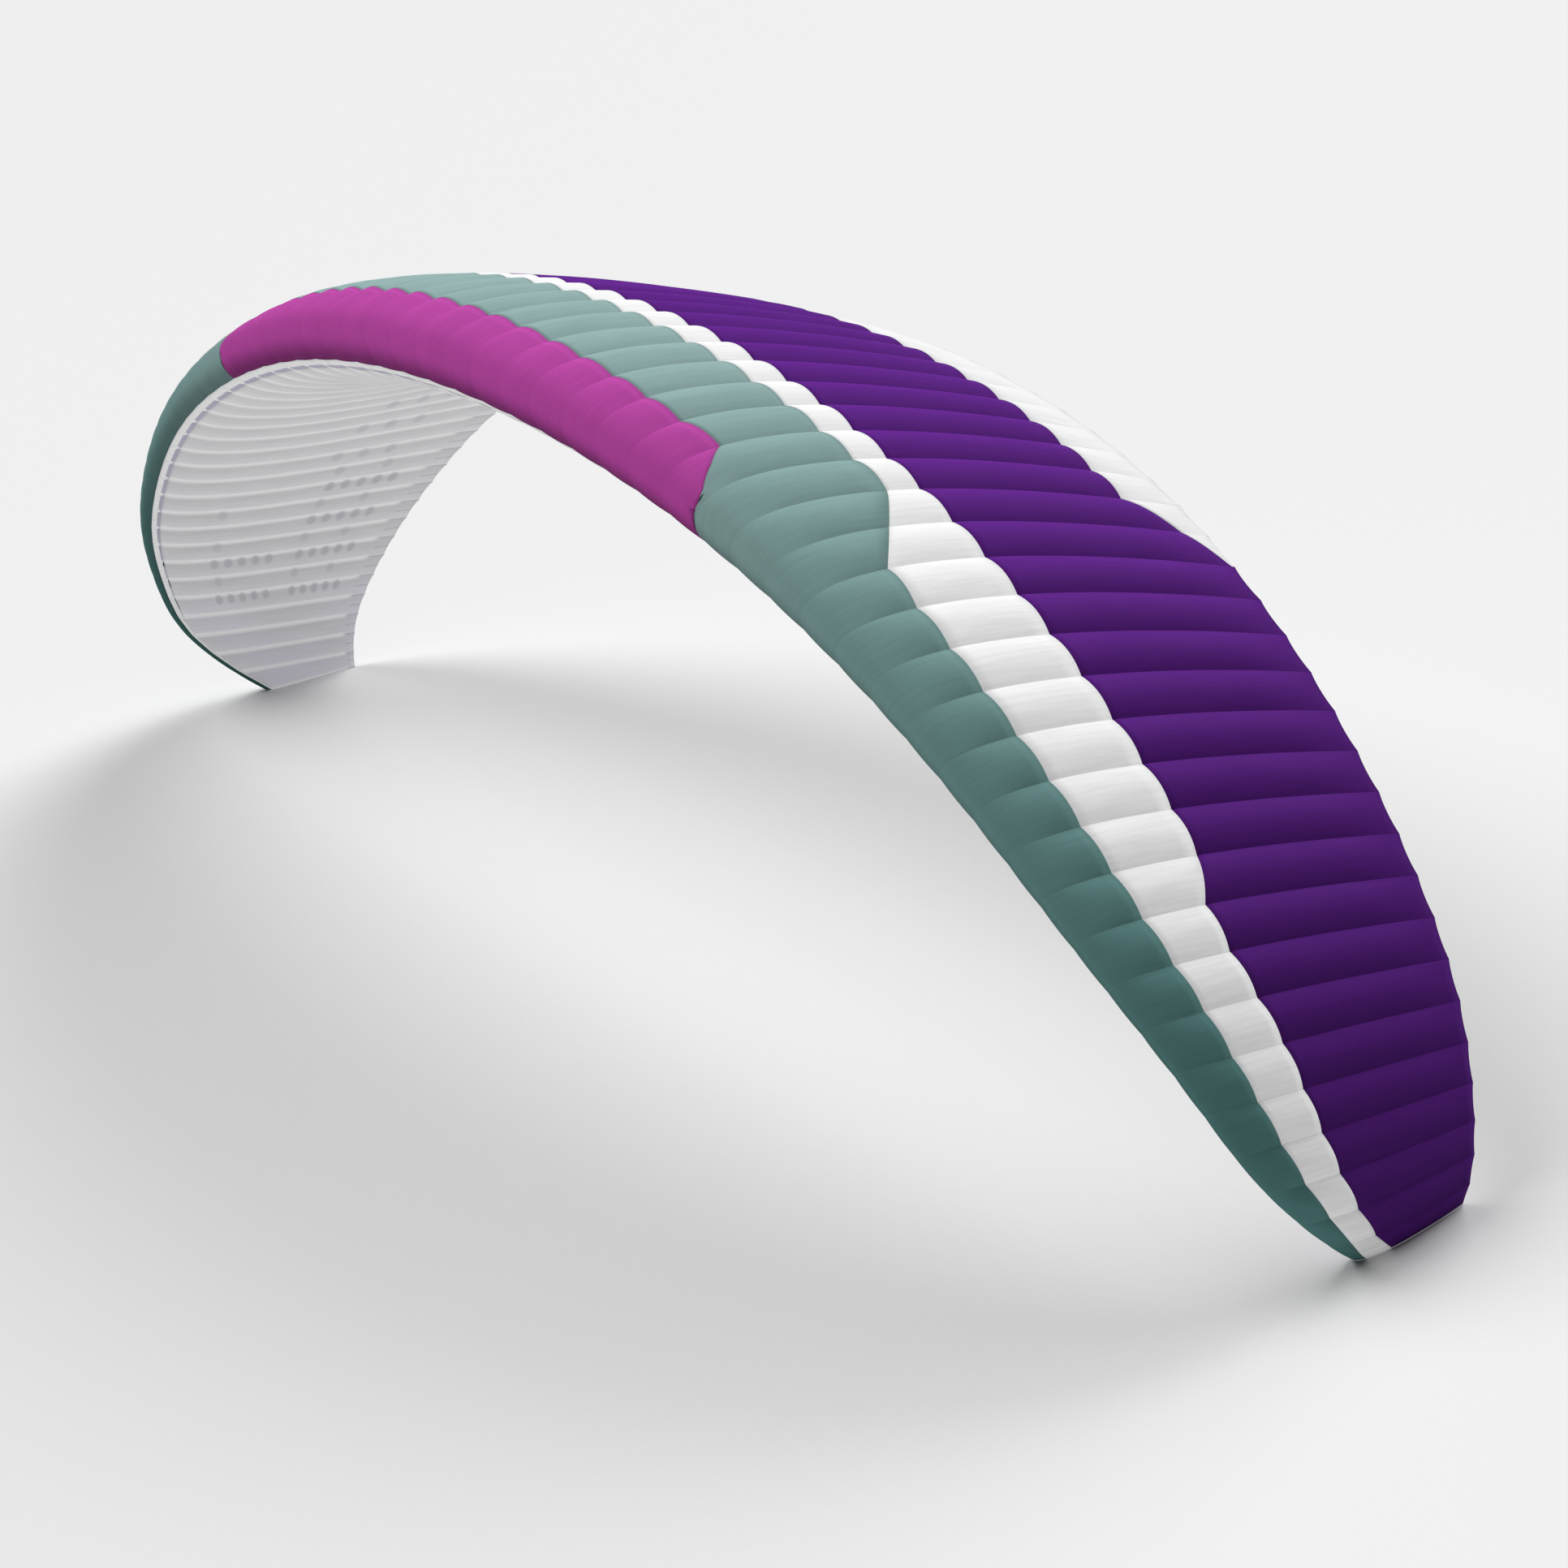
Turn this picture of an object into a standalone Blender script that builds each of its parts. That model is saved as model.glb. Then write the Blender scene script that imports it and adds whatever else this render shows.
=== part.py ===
"""Ram-air wing of a paraglider, standing as an arch on its two wing tips.

The wing is sewn from single layers of coated cloth over 60 ribs, so it has 59 cells
that the air blows round. Every panel here is one sheet, 2 mm thick. Positions are in
metres, X runs along the span, the leading edge faces -Y, and Z is up.

A place on the cloth is given by two numbers. The first is k, which counts cells from
the middle of the wing, so the ribs are at k = 0.5, 1.5 ... 29.5. The second is s, whose
square is the share of the chord behind the nose. It is positive on the top and
negative underneath, so s = 0 is the nose itself.
"""
import math

import bpy
import numpy as np

CLOTH = 0.002          # thickness of one sheet
GAP = 0.0003           # between two sheets that are sewn together
HALF_SPAN = 5.90       # middle to tip, along the cloth
LAST_RIB = 29.5
CROWDING = 0.2246      # how much narrower the cells get toward the tips
NOSE_UP = 5.37         # degrees that each rib is turned nose up
STANCE = 6.0           # degrees that the whole wing is turned nose up to stand
RIB_PLATE = 0.003      # thickness of the closing rib at each tip
MIDDLE_Y = 1.2416      # takes the middle of the wing to Y = 0
FLOOR_Z = -2.800       # takes the cut tips to Z = 0

# Stations along the span. Share of the half span, lean of the cloth from level in
# degrees, and where the nose and the trailing edge are along Y.
STATIONS = (
    # share, lean, nose, rear
    (0.00, 0.0, 0.108, 2.424),
    (0.20, 9.234, 0.133, 2.410),
    (0.40, 18.968, 0.204, 2.337),
    (0.55, 27.935, 0.273, 2.232),
    (0.70, 39.043, 0.382, 2.123),
    (0.80, 46.671, 0.502, 2.038),
    (0.88, 59.592, 0.671, 1.950),
    (0.94, 78.523, 0.874, 1.871),
    (1.00, 120.431, 1.278, 1.826),
)

TOP_RISE = (0.0832, 0.0691)      # half-thickness above the chord, middle and tip
BOTTOM_DROP = (0.1109, 0.0172)   # depth below the chord, middle and tip
TOP_BULGE = 0.105                # rise of a cell between its ribs, share of its width
BOTTOM_BULGE = 0.06

# Colour seams on the top, as s at each rib.
FRONT_BAND_END = ((0.0, 0.298), (7.5, 0.303), (8.5, 0.319), (9.5, -0.1414))
FRONT_BAND_TIP = 9.48            # the slanted end of the front band stops here
TEAL_END = (
    (0.0, 0.546), (10.5, 0.549), (11.5, 0.484), (12.5, 0.399), (13.5, 0.385),
    (15.5, 0.378), (22.5, 0.370), (25.5, 0.356), (27.5, 0.340), (29.5, 0.328),
)
WHITE_END = (
    (0.0, 0.606), (4.5, 0.611), (18.5, 0.609), (19.5, 0.603), (20.5, 0.555),
    (21.5, 0.545), (23.5, 0.545), (25.5, 0.530), (27.5, 0.509), (28.5, 0.514),
    (29.5, 0.565),
)
REAR_BAND_START = ((0.0, 0.917), (10.5, 0.920), (11.5, 0.963), (12.5, 0.996))
NOSE_PANEL_EDGE = -0.1414        # where the coloured nose cloth ends underneath
STRIP_EDGE = -0.212              # where the white nose strip ends
MOUTH_EDGE = -0.252              # rear side of the air intakes
MOUTHS_TO = 25.5                 # the cells beyond this rib have no intake

# Ribs at which the long panels are divided. The narrow bands have longer pieces.
BAND_RIBS = (-29.5, -25.5, -19.5, -12.5, -5.5, 5.5, 12.5, 19.5, 25.5, 29.5)
MAIN_RIBS = (-29.5, -25.5, -21.5, -17.5, -12.5, -7.5, -2.5,
             2.5, 7.5, 12.5, 17.5, 21.5, 25.5, 29.5)
REAR_RIBS = MAIN_RIBS[4:10]


def clear_scene():
    for item in list(bpy.data.objects):
        bpy.data.objects.remove(item, do_unlink=True)


def natural_spline(xs, ys):
    """Second derivatives of the smooth curve through the points."""
    n = len(xs)
    grid = np.zeros((n, n))
    right = np.zeros(n)
    grid[0, 0] = 1.0
    grid[-1, -1] = 1.0
    for i in range(1, n - 1):
        before = xs[i] - xs[i - 1]
        after = xs[i + 1] - xs[i]
        grid[i, i - 1] = before
        grid[i, i] = 2.0 * (before + after)
        grid[i, i + 1] = after
        slope_after = (ys[i + 1] - ys[i]) / after
        slope_before = (ys[i] - ys[i - 1]) / before
        right[i] = 6.0 * (slope_after - slope_before)
    return np.linalg.solve(grid, right)


class Curve:
    """A smooth curve through one column of the station table, mirrored at the middle."""

    def __init__(self, column, mirror):
        shares = [row[0] for row in STATIONS]
        values = [row[column] for row in STATIONS]
        self.xs = np.array([-x for x in shares[:0:-1]] + shares)
        self.ys = np.array([mirror * y for y in values[:0:-1]] + values)
        self.bend = natural_spline(self.xs, self.ys)

    def at(self, share):
        share = np.asarray(share, float)
        i = np.clip(np.searchsorted(self.xs, share) - 1, 0, len(self.xs) - 2)
        h = self.xs[i + 1] - self.xs[i]
        a = (self.xs[i + 1] - share) / h
        b = (share - self.xs[i]) / h
        bow = (a ** 3 - a) * self.bend[i] + (b ** 3 - b) * self.bend[i + 1]
        return a * self.ys[i] + b * self.ys[i + 1] + bow * h * h / 6.0


LEAN = Curve(1, -1.0)
NOSE = Curve(2, 1.0)
REAR = Curve(3, 1.0)


def arch_line():
    """X and Z of the middle of the cloth, summed from the lean in small steps."""
    steps = 424
    share = np.linspace(0.0, 1.06, steps + 1)
    lean = np.radians(LEAN.at((share[1:] + share[:-1]) / 2.0))
    step = share[1] * HALF_SPAN
    x = np.concatenate([[0.0], np.cumsum(np.cos(lean))]) * step
    z = -np.concatenate([[0.0], np.cumsum(np.sin(lean))]) * step
    return share, x, z


ARCH = arch_line()


def share_of_rib(k):
    part = np.abs(k) / LAST_RIB
    return part * (1.0 + CROWDING * (1.0 - part ** 2))


def rib_height(s, share):
    """Height of the rib's outline over its chord line, as a share of the chord."""
    t = np.clip(s * s, 0.0, 1.0)
    rise = TOP_RISE[0] + (TOP_RISE[1] - TOP_RISE[0]) * share ** 2
    drop = BOTTOM_DROP[0] + (BOTTOM_DROP[1] - BOTTOM_DROP[0]) * share ** 2
    body = 0.2969 * np.sqrt(t) - 0.1260 * t - 0.3516 * t ** 2 + 0.2843 * t ** 3
    top = rise * (body - 0.1036 * t ** 4) / 0.1
    low = -drop * t ** 0.39 * (1.0 - t) ** 1.3725 / 0.4069
    return np.where(s >= 0.0, top, low)


def stand(points):
    """Turns the wing nose up by its stance and sets it on the floor."""
    turn = math.radians(STANCE)
    x = points[..., 0]
    y = points[..., 1] * math.cos(turn) + points[..., 2] * math.sin(turn)
    z = points[..., 2] * math.cos(turn) - points[..., 1] * math.sin(turn)
    return np.stack([x, y - MIDDLE_Y, z - FLOOR_Z], -1)


def on_rib(share, side, s):
    """A point on the rib at a share of the half span, on one side (-1 or 1)."""
    share, s = np.broadcast_arrays(np.asarray(share, float), np.asarray(s, float))
    lean = np.radians(LEAN.at(share))
    nose = NOSE.at(share)
    chord = REAR.at(share) - nose
    along = (s * s - 0.3) * chord
    height = rib_height(s, share) * chord
    turn = math.radians(NOSE_UP)
    y = nose + 0.3 * chord + along * math.cos(turn) + height * math.sin(turn)
    out = height * math.cos(turn) - along * math.sin(turn)
    x = np.interp(share, ARCH[0], ARCH[1]) + np.sin(lean) * out
    z = np.interp(share, ARCH[0], ARCH[2]) + np.cos(lean) * out
    return stand(np.stack([side * x, y, z], -1))


def level_share(side, s, height):
    """The share of the half span where the cloth comes down to a height."""
    low = np.full(np.shape(s), 0.97)
    high = np.full(np.shape(s), 1.03)
    for _ in range(30):
        middle = (low + high) / 2.0
        above = on_rib(middle, side, s)[..., 2] > height
        low = np.where(above, middle, low)
        high = np.where(above, high, middle)
    return (low + high) / 2.0


def rib_line(k, s):
    """Points of the rib k at each s. The last rib is cut level."""
    side = -1.0 if k < 0 else 1.0
    if abs(k) > LAST_RIB - 0.01:
        return on_rib(level_share(side, s, RIB_PLATE + GAP), side, s)
    return on_rib(share_of_rib(k), side, s)


def bulge_height(s, width):
    """How far the air pushes the cloth out midway between two ribs."""
    t = np.clip(s * s, 0.0, 1.0)
    fade = np.clip((1.0 - t) / 0.35, 0.0, 1.0)
    top = TOP_BULGE * (0.75 + 0.25 * np.clip(t / 0.1, 0.0, 1.0))
    share = np.where(s >= 0.0, top, BOTTOM_BULGE + (TOP_BULGE * 0.75 - BOTTOM_BULGE)
                     * np.clip(1.0 - t / 0.05, 0.0, 1.0))
    return share * width * (0.12 + 0.88 * fade) * np.clip((1.0 - t) / 0.02, 0.0, 1.0)


def cloth_point(k, s):
    """A point of the blown-up cloth at cell position k, for an array of s."""
    cell = math.floor(k + 0.5)
    cell = max(-29, min(29, cell))
    share = min(1.0, max(0.0, k - (cell - 0.5)))
    left = rib_line(cell - 0.5, s)
    right = rib_line(cell + 0.5, s)
    ahead = (rib_line(cell - 0.5, s + 0.01) + rib_line(cell + 0.5, s + 0.01)
             - rib_line(cell - 0.5, s - 0.01) - rib_line(cell + 0.5, s - 0.01))
    across = right - left
    out = np.cross(across, ahead)
    out /= np.maximum(np.linalg.norm(out, axis=-1, keepdims=True), 1e-9)
    width = np.linalg.norm(across, axis=-1)
    rise = bulge_height(s, width) * 4.0 * share * (1.0 - share)
    return left + across * share + out * rise[..., None]


def outward(k, s):
    """Unit normal of the cloth, the mean of both sides on a seam."""
    total = np.zeros(np.shape(s) + (3,))
    for shift in (-0.04, 0.04):
        near = max(-LAST_RIB + 0.01, min(LAST_RIB - 0.01, k + shift))
        across = cloth_point(near + 0.01, s) - cloth_point(near - 0.01, s)
        ahead = cloth_point(near, s + 0.01) - cloth_point(near, s - 0.01)
        normal = np.cross(across, ahead)
        normal /= np.maximum(np.linalg.norm(normal, axis=-1, keepdims=True), 1e-9)
        total += normal
    return total / np.linalg.norm(total, axis=-1, keepdims=True)


def seam_at(table, k):
    return float(np.interp(abs(k), [row[0] for row in table], [row[1] for row in table]))


def cell_steps(start, end, inside):
    """Cell positions from one rib to another, with the same few inside every cell."""
    places = []
    rib = start
    while rib < end - 0.01:
        places.append(rib)
        places.extend(rib + share for share in inside)
        rib += 1.0
    places.append(end)
    return places


def sheet_grid(places, edges, rows):
    """Outer and inner points of a sheet. edges(k) gives the first and last s."""
    outer = []
    inner = []
    for k in places:
        first, last = edges(k)
        s = np.linspace(first, last, rows + 1)
        middle = cloth_point(k, s)
        normal = outward(k, s)
        outer.append(middle + normal * (CLOTH + GAP / 2.0))
        inner.append(middle + normal * (GAP / 2.0))
    outer = np.array(outer)
    inner = np.array(inner)
    for column, k in enumerate(places):
        if abs(k) > LAST_RIB - 0.01:
            outer[column, :, 2] = RIB_PLATE + GAP
            inner[column, :, 2] = RIB_PLATE + GAP
    return outer, inner


def sheet_faces(columns, rows):
    """Faces of a closed sheet whose outer points come first, then the inner ones."""
    def spot(layer, i, j):
        return layer * columns * rows + i * rows + j
    faces = []
    for i in range(columns - 1):
        for j in range(rows - 1):
            faces.append((spot(0, i, j), spot(0, i + 1, j),
                          spot(0, i + 1, j + 1), spot(0, i, j + 1)))
            faces.append((spot(1, i, j), spot(1, i, j + 1),
                          spot(1, i + 1, j + 1), spot(1, i + 1, j)))
    for i in range(columns - 1):
        faces.append((spot(0, i, 0), spot(1, i, 0), spot(1, i + 1, 0), spot(0, i + 1, 0)))
        faces.append((spot(0, i, rows - 1), spot(0, i + 1, rows - 1),
                      spot(1, i + 1, rows - 1), spot(1, i, rows - 1)))
    for j in range(rows - 1):
        faces.append((spot(0, 0, j), spot(0, 0, j + 1), spot(1, 0, j + 1), spot(1, 0, j)))
        faces.append((spot(0, columns - 1, j), spot(1, columns - 1, j),
                      spot(1, columns - 1, j + 1), spot(0, columns - 1, j + 1)))
    return faces


def cloth_material(name, colour, roughness):
    material = bpy.data.materials.new(name)
    material.use_nodes = True
    shader = material.node_tree.nodes["Principled BSDF"]
    shader.inputs["Base Color"].default_value = (*colour, 1.0)
    shader.inputs["Roughness"].default_value = roughness
    material.diffuse_color = (*colour, 1.0)
    return material


def add_object(name, points, faces, material):
    mesh = bpy.data.meshes.new(name)
    mesh.from_pydata([tuple(p) for p in points], [], faces)
    mesh.update()
    for polygon in mesh.polygons:
        polygon.use_smooth = True
    mesh.materials.append(material)
    item = bpy.data.objects.new(name, mesh)
    bpy.context.scene.collection.objects.link(item)
    return item


def add_sheet(name, start, end, edges, rows, material, inside=(0.25, 0.75)):
    """One panel from rib to rib. It stops half a gap short of the next section."""
    places = cell_steps(start, end, inside)
    short = GAP / 2.0 / 0.15
    if abs(start) < LAST_RIB:
        places[0] += short
    if abs(end) < LAST_RIB:
        places[-1] -= short
    if edges is front_edges:
        places = [max(-FRONT_BAND_TIP, min(FRONT_BAND_TIP, k)) for k in places]
    outer, inner = sheet_grid(places, edges, rows)
    points = np.concatenate([outer.reshape(-1, 3), inner.reshape(-1, 3)])
    add_object(name, points, sheet_faces(len(places), rows + 1), material)
    return points


def half_gap(k, s):
    """Half a gap, as a change of s, for a seam that runs along the span."""
    share = share_of_rib(min(abs(k), LAST_RIB))
    chord = float(REAR.at(share) - NOSE.at(share))
    slope = max(2.0 * abs(s) * chord, 0.30 * chord)
    return GAP / 2.0 / slope


def top_edge(table, k, side):
    """A colour seam, moved half a gap to one side of itself."""
    s = seam_at(table, k)
    slanted = table is FRONT_BAND_END and abs(k) > 8.45
    return s + side * half_gap(k, s) * (4.0 if slanted else 1.0)


def front_edges(k):
    return NOSE_PANEL_EDGE, top_edge(FRONT_BAND_END, k, -1)


def teal_edges(k):
    if abs(k) >= 9.5:
        first = NOSE_PANEL_EDGE
    else:
        first = top_edge(FRONT_BAND_END, k, 1)
    return first, top_edge(TEAL_END, k, -1)


def white_edges(k):
    return top_edge(TEAL_END, k, 1), top_edge(WHITE_END, k, -1)


def main_edges(k):
    last = 1.0
    if abs(k) < 12.5:
        last = top_edge(REAR_BAND_START, k, -1)
    return top_edge(WHITE_END, k, 1), last


def rear_edges(k):
    return top_edge(REAR_BAND_START, k, 1), 1.0


def strip_edges(k):
    """The nose strip, with a tab down to the under panel at each rib."""
    to_rib = abs(k - 0.5 - round(k - 0.5))
    low = STRIP_EDGE
    if abs(k) < MOUTHS_TO - 0.01 and to_rib < 0.01:
        low = MOUTH_EDGE + half_gap(k, MOUTH_EDGE)
    return low, NOSE_PANEL_EDGE - 4.0 * half_gap(k, NOSE_PANEL_EDGE)


def under_edges(k):
    return -1.0, MOUTH_EDGE - half_gap(k, MOUTH_EDGE)


def under_tip_edges(k):
    return -1.0, STRIP_EDGE - 2.0 * half_gap(k, STRIP_EDGE)


def add_tip_rib(name, side, material):
    """The rib that closes a wing tip. It lies level and the wing stands on it."""
    top = sheet_grid([side * LAST_RIB], lambda k: (0.0, 1.0), 14)[0][0]
    low = sheet_grid([side * LAST_RIB], lambda k: (0.0, -1.0), 10)[0][0]
    outline = [tuple(p[:2]) for p in top] + [tuple(p[:2]) for p in low[:0:-1]]
    count = len(outline)
    points = [(x, y, 0.0) for x, y in outline] + [(x, y, RIB_PLATE) for x, y in outline]
    ring = list(range(count))
    faces = [tuple(ring[::-1]), tuple(i + count for i in ring)]
    for i in ring:
        j = (i + 1) % count
        faces.append((i, j, j + count, i + count))
    if side < 0:
        faces = [face[::-1] for face in faces]
    item = add_object(name, points, faces, material)
    for polygon in item.data.polygons:
        polygon.use_smooth = False


def build():
    clear_scene()
    magenta = cloth_material("magenta_cloth", (0.38, 0.05, 0.28), 0.5)
    teal = cloth_material("teal_cloth", (0.20, 0.36, 0.33), 0.5)
    white = cloth_material("white_cloth", (0.85, 0.85, 0.86), 0.5)
    purple = cloth_material("purple_cloth", (0.10, 0.015, 0.28), 0.5)
    grey = cloth_material("underside_cloth", (0.60, 0.61, 0.63), 0.5)
    for index, (start, end) in enumerate(((-9.5, -3.5), (-3.5, 3.5), (3.5, 9.5)), 1):
        add_sheet(f"front_magenta_{index}", start, end, front_edges, 5, magenta)
    for index, (start, end) in enumerate(zip(BAND_RIBS, BAND_RIBS[1:]), 1):
        middle = abs(start + end) < 0.1
        teal_rows = 3 if middle else 5
        white_rows = 1 if middle else 2
        add_sheet(f"band_teal_{index}", start, end, teal_edges, teal_rows, teal)
        add_sheet(f"band_white_{index}", start, end, white_edges, white_rows, white)
    for index, (start, end) in enumerate(zip(MAIN_RIBS, MAIN_RIBS[1:]), 1):
        add_sheet(f"top_purple_{index}", start, end, main_edges, 4, purple)
        if abs(start + end) > 50.0:
            add_sheet(f"under_grey_{index}", start, end, under_tip_edges, 4, grey, (0.12, 0.88))
        else:
            add_sheet(f"under_grey_{index}", start, end, under_edges, 4, grey, (0.5,))
    for index, (start, end) in enumerate(zip(REAR_RIBS, REAR_RIBS[1:]), 1):
        add_sheet(f"rear_white_{index}", start, end, rear_edges, 1, white)
    add_sheet("nose_strip", -29.5, 29.5, strip_edges, 1, white, (0.12, 0.88))
    add_tip_rib("tip_rib_left", -1.0, grey)
    add_tip_rib("tip_rib_right", 1.0, grey)


build()
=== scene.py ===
# %% [markdown]
# # A paraglider wing in Blender
# A ram-air wing is sewn from thin coated cloth and holds its shape only because air
# blows into it. It has 59 cells side by side. Each cell bulges between two ribs, so the
# whole wing looks quilted along its chord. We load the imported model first, because
# every piece of cloth we add has to lie where its solid lies.

# %% Load the fixed frame
import math

import bpy
import numpy as np
from mathutils import Matrix, Vector


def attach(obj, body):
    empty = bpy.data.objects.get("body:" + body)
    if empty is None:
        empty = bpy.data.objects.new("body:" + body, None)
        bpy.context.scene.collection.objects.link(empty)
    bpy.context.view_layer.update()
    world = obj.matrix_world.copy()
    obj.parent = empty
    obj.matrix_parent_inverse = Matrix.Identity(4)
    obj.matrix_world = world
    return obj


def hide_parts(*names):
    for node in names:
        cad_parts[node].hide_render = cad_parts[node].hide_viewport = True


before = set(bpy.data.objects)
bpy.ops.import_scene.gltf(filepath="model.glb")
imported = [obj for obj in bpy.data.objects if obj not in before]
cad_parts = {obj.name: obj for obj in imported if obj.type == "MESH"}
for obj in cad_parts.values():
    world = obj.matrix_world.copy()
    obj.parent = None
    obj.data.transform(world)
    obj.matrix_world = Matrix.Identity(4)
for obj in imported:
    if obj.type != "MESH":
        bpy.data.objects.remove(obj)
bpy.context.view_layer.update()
NODES = sorted(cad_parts)
print("nodes:", len(NODES))

# %% [markdown]
# ## Camera
# A long lens stands far off and looks slightly down on one wing tip, so the near half
# shows its top and the far half shows its underside. The position, the direction and
# the lens are plain numbers. The matrix is built from the three directions of the view,
# because three angles would hide the small roll of the view.

# %% Camera
VIEW_AT = Vector((13.03898978, -6.86960801, 5.83345639))
VIEW_ALONG = Vector((-0.82081968, 0.45767423, -0.34174456)).normalized()
VIEW_UP = Vector((-0.2316497, 0.28015843, 0.93158449)).normalized()
FOCAL_PIXELS = 4245.65
WIDE_PIXELS = 1932.0
SENSOR_MM = 36.0
FAR_CLIP = 400.0


def place_in_scene(name, data):
    item = bpy.data.objects.new(name, data)
    bpy.context.scene.collection.objects.link(item)
    return item


def add_camera():
    data = bpy.data.cameras.new("wing_camera")
    data.sensor_width = SENSOR_MM
    data.lens = FOCAL_PIXELS / WIDE_PIXELS * SENSOR_MM
    data.clip_end = FAR_CLIP
    camera = place_in_scene("wing_camera", data)
    right = VIEW_ALONG.cross(VIEW_UP).normalized()
    up = right.cross(VIEW_ALONG)
    turn = Matrix((right, up, -VIEW_ALONG)).transposed().to_4x4()
    camera.matrix_world = Matrix.Translation(VIEW_AT) @ turn
    bpy.context.scene.camera = camera
    return camera


camera = add_camera()
print("lens:", round(camera.data.lens, 2), "mm")

# %% [markdown]
# ## The measures of the wing
# The cloth is described by two numbers, as in the part's source. k counts cells from
# the middle, with ribs at 0.5, 1.5 and so on to 29.5. The square of s is the share of
# the chord behind the nose, and s is negative underneath. A station table gives the
# lean of the cloth, the nose and the trailing edge along the half span.

# %% Measures
CLOTH = 0.002  # thickness of a sheet, in metres
GAP = 0.0003  # air between two sheets at a seam
HALF_SPAN = 5.90  # along the cloth, middle to tip
LAST_RIB = 29.5
LAST_CELL = 29
CROWDING = 0.2246  # how much narrower the cells get towards the tips
NOSE_UP = 5.37  # turn of every rib, in degrees
STANCE = 6.0  # turn of the whole wing, in degrees
RIB_PLATE = 0.003  # height of the closing ribs that stand on the floor
MIDDLE_Y = 1.2416
FLOOR_Z = -2.800
STATIONS = (
    # share, lean, nose, rear
    (0.00, 0.0, 0.108, 2.424),
    (0.20, 9.234, 0.133, 2.410),
    (0.40, 18.968, 0.204, 2.337),
    (0.55, 27.935, 0.273, 2.232),
    (0.70, 39.043, 0.382, 2.123),
    (0.80, 46.671, 0.502, 2.038),
    (0.88, 59.592, 0.671, 1.950),
    (0.94, 78.523, 0.874, 1.871),
    (1.00, 120.431, 1.278, 1.826),
)
TOP_RISE = (0.0832, 0.0691)  # half thickness of a rib, middle and tip
BOTTOM_DROP = (0.1109, 0.0172)
TOP_BULGE = 0.105  # height of the bulge over the width of the cell
BOTTOM_BULGE = 0.06
NOSE_BULGE = 0.015
print("stations:", len(STATIONS), "half span:", HALF_SPAN, "m")

# %% Colour seams
# Each row is a rib number and the s of the seam there.
FRONT_BAND_END = ((0.0, 0.298), (7.5, 0.303), (8.5, 0.319),
                  (8.94, 0.24), (9.38, 0.12), (9.5, -0.170))
TEAL_END = (
    (0.0, 0.546), (10.5, 0.549), (11.5, 0.484), (12.5, 0.399), (13.5, 0.385),
    (15.5, 0.378), (22.5, 0.370), (25.5, 0.356), (27.5, 0.340), (29.5, 0.328),
)
WHITE_END = (
    (0.0, 0.606), (4.5, 0.611), (18.5, 0.609), (19.5, 0.603), (20.5, 0.555),
    (21.5, 0.545), (23.5, 0.545), (25.5, 0.530), (27.5, 0.509), (28.5, 0.514),
    (29.5, 0.565),
)
REAR_BAND_START = ((0.0, 0.917), (10.5, 0.920), (11.5, 0.963), (12.5, 0.996))
FRONT_BAND_TO = 9.5  # the last rib of the magenta cloth
REAR_BAND_TO = 12.5  # the last rib of the white rear cloth
NOSE_PANEL_EDGE = -0.170
STRIP_EDGE = -0.213
MOUTH_EDGE = -0.237
MOUTHS_TO = 25.5  # the last rib with an air intake
print("rows in the seam tables:",
      [len(t) for t in (FRONT_BAND_END, TEAL_END, WHITE_END, REAR_BAND_START)])

# %% [markdown]
# ## The blown-up cloth as a function
# One function gives any point of the cloth, so every panel, seam, stitch and tab asks
# the same function where it is and nothing has to be fitted later. Smooth curves run
# through the station table. A thickness formula shapes each rib, and the air pushes the
# cloth out between two ribs along a parabola.


# %% Smooth curves through the stations
def natural_spline(xs, ys):
    step = np.diff(xs)
    slope = np.diff(ys) / step
    grid = np.eye(len(xs))
    right = np.zeros(len(xs))
    for i in range(1, len(xs) - 1):
        grid[i, i - 1:i + 2] = step[i - 1], 2.0 * (step[i - 1] + step[i]), step[i]
        right[i] = 6.0 * (slope[i] - slope[i - 1])
    return np.linalg.solve(grid, right)


class Curve:
    """A smooth curve through one column of the table, mirrored at the middle."""

    def __init__(self, column, mirror):
        shares = [row[0] for row in STATIONS]
        values = [row[column] for row in STATIONS]
        self.xs = np.array([-x for x in shares[:0:-1]] + shares)
        self.ys = np.array([mirror * y for y in values[:0:-1]] + values)
        self.bend = natural_spline(self.xs, self.ys)

    def at(self, share):
        i = np.clip(np.searchsorted(self.xs, share) - 1, 0, len(self.xs) - 2)
        h = self.xs[i + 1] - self.xs[i]
        a = (self.xs[i + 1] - share) / h
        b = (share - self.xs[i]) / h
        bow = (a ** 3 - a) * self.bend[i] + (b ** 3 - b) * self.bend[i + 1]
        return a * self.ys[i] + b * self.ys[i + 1] + bow * h * h / 6.0


LEAN = Curve(1, -1.0)
NOSE = Curve(2, 1.0)
REAR = Curve(3, 1.0)


ARCH_STEPS = 424
ARCH_REACH = 1.06  # the line runs on a little past the tip
TIP_STEP = 400  # the step at which it reaches the tip


def arch_line():
    share = np.linspace(0.0, ARCH_REACH, ARCH_STEPS + 1)
    lean = np.radians(LEAN.at((share[1:] + share[:-1]) / 2.0))
    step = share[1] * HALF_SPAN
    x = np.concatenate([[0.0], np.cumsum(np.cos(lean))]) * step
    z = -np.concatenate([[0.0], np.cumsum(np.sin(lean))]) * step
    return share, x, z


ARCH = arch_line()
print("arch height in its own line:", round(float(-ARCH[2][TIP_STEP]), 3), "m")


# %% Ribs and cloth
def share_of_rib(k):
    part = np.abs(k) / LAST_RIB
    return part * (1.0 + CROWDING * (1.0 - part ** 2))


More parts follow.
